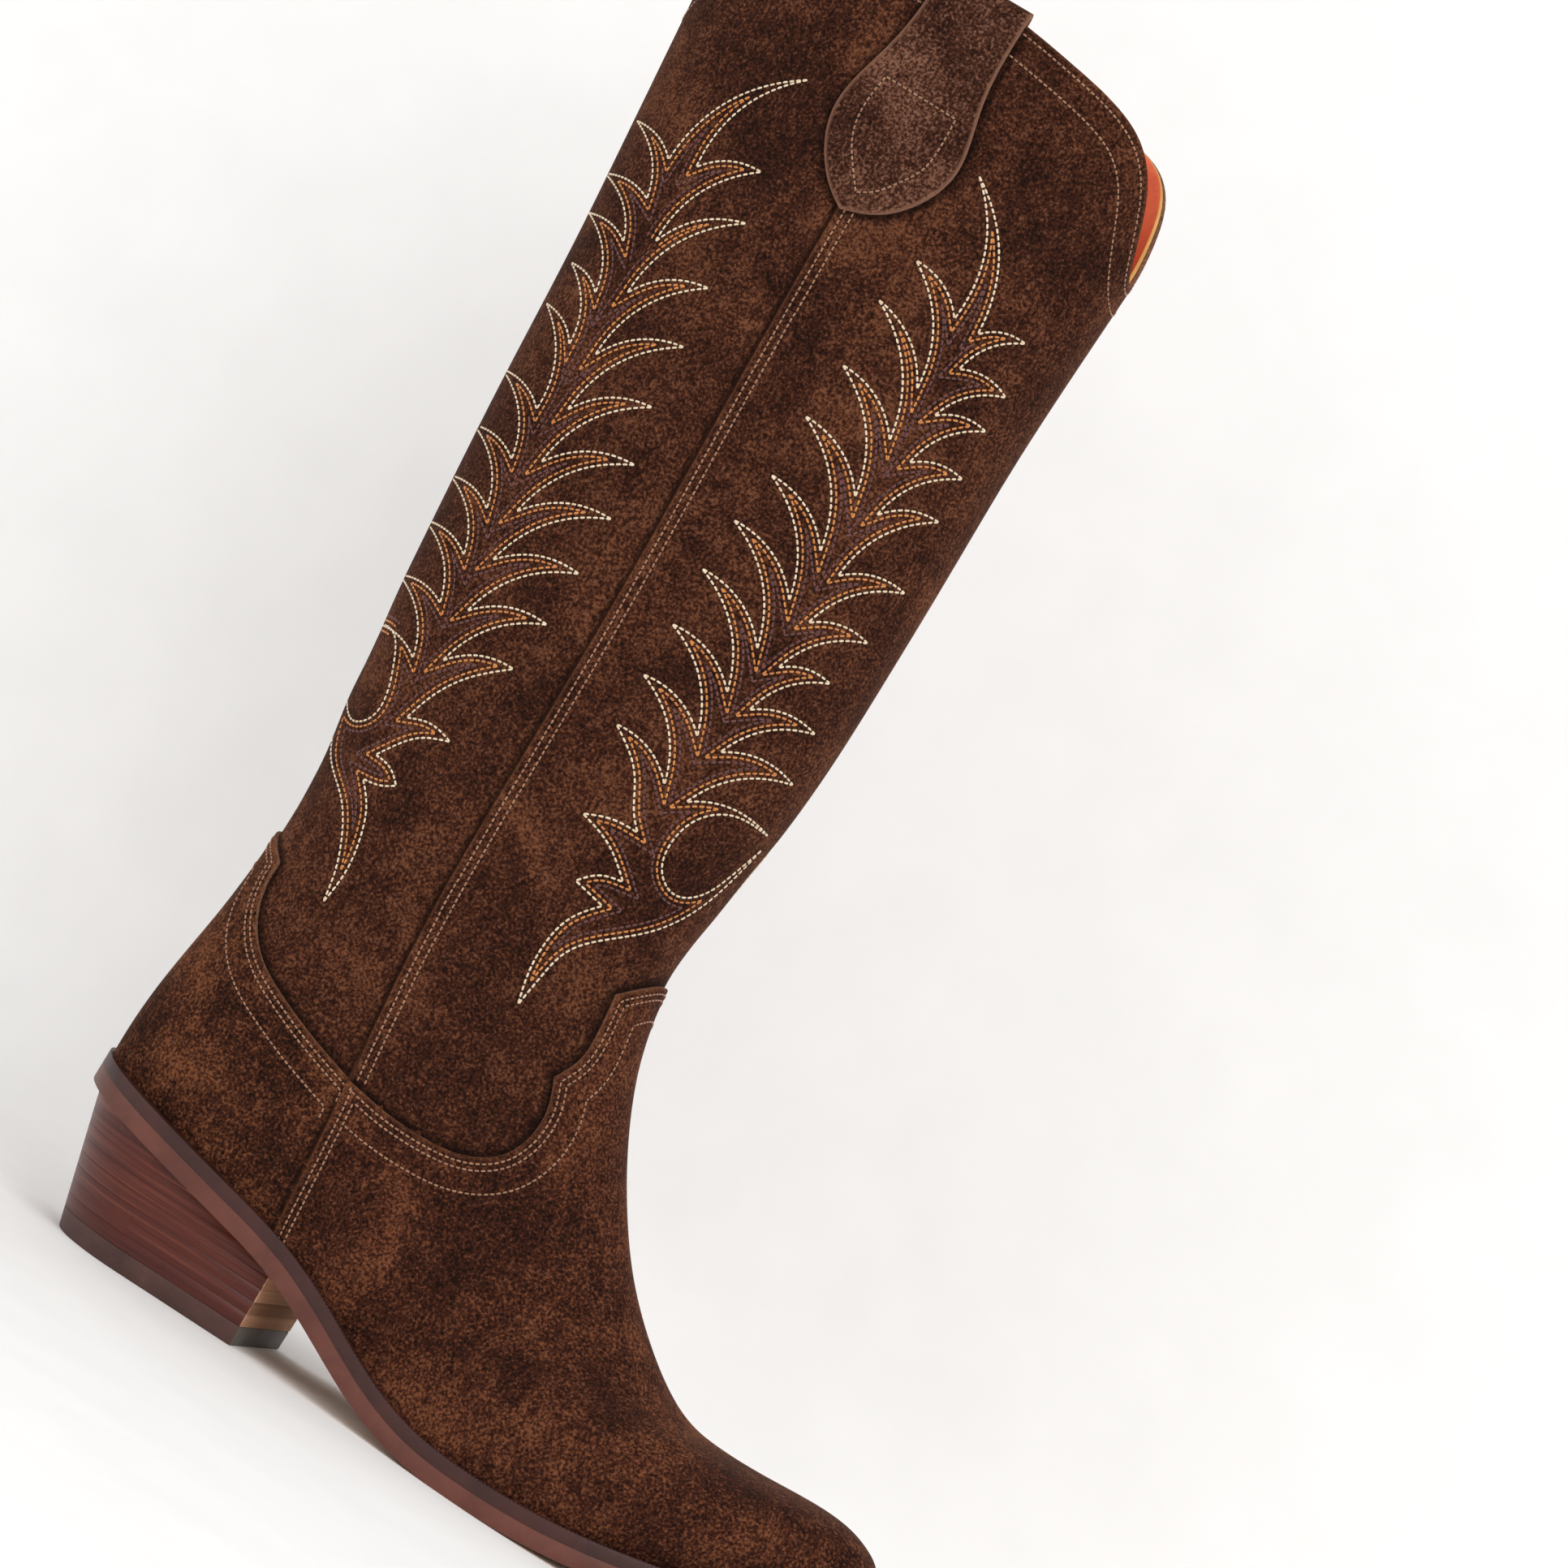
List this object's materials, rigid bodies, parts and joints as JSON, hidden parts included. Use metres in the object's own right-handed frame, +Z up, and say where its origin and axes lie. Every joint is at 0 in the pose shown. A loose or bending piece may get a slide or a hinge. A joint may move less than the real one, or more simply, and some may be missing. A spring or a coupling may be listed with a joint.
{
  "type": "cowboy boot",
  "caption": "Tall pull-on western boot in dark brown suede with feather embroidery, pull straps, a snip toe, a welted leather sole and an underslung stacked heel.",
  "frame": {"origin": "centre of the heel's ground face, on the surface that the boot stands on", "axes": "+X to the toe, +Z up the shaft, -Y to the outer (lateral) side of this right boot"},
  "size_m": [0.3103, 0.0925, 0.4631],
  "materials": {
    "suede_upper": "brushed suede, matt",
    "lining_leather": "smooth lining leather, satin",
    "stiffener_board": "raw fibre board, matt",
    "interlining_cloth": "plain woven cotton, matt",
    "insole_leather": "natural vegetable tanned, matt",
    "filler_cork": "pressed cork, matt",
    "shank_steel": "plain rolled steel",
    "welt_leather": "stained and waxed edge",
    "sole_leather": "stained edge, buffed tread",
    "heel_stack": "stacked leather, stained and polished",
    "top_lift_rubber": "moulded rubber, satin"
  },
  "bodies": {
    "root": {"vamp": "suede_upper", "heel_counter_cover": "suede_upper", "shaft_front": "suede_upper", "shaft_back": "suede_upper", "pull_strap_lateral": "suede_upper", "pull_strap_medial": "suede_upper", "shaft_lining_front": "lining_leather", "shaft_lining_back": "lining_leather", "vamp_lining": "lining_leather", "heel_lining": "lining_leather", "sock_liner": "lining_leather", "toe_puff": "stiffener_board", "heel_stiffener": "stiffener_board", "vamp_interlining": "interlining_cloth", "insole_board": "insole_leather", "cork_filler": "filler_cork", "steel_shank": "shank_steel", "heel_nails": "shank_steel", "welt": "welt_leather", "outsole": "sole_leather", "top_lift": "top_lift_rubber", "heel_lift_1": "heel_stack", "heel_lift_2": "heel_stack", "heel_lift_3": "heel_stack", "heel_lift_4": "heel_stack", "heel_lift_5": "heel_stack", "heel_lift_6": "heel_stack", "heel_lift_7": "heel_stack", "heel_lift_8": "heel_stack", "heel_lift_9": "heel_stack"}
  },
  "joints": []
}
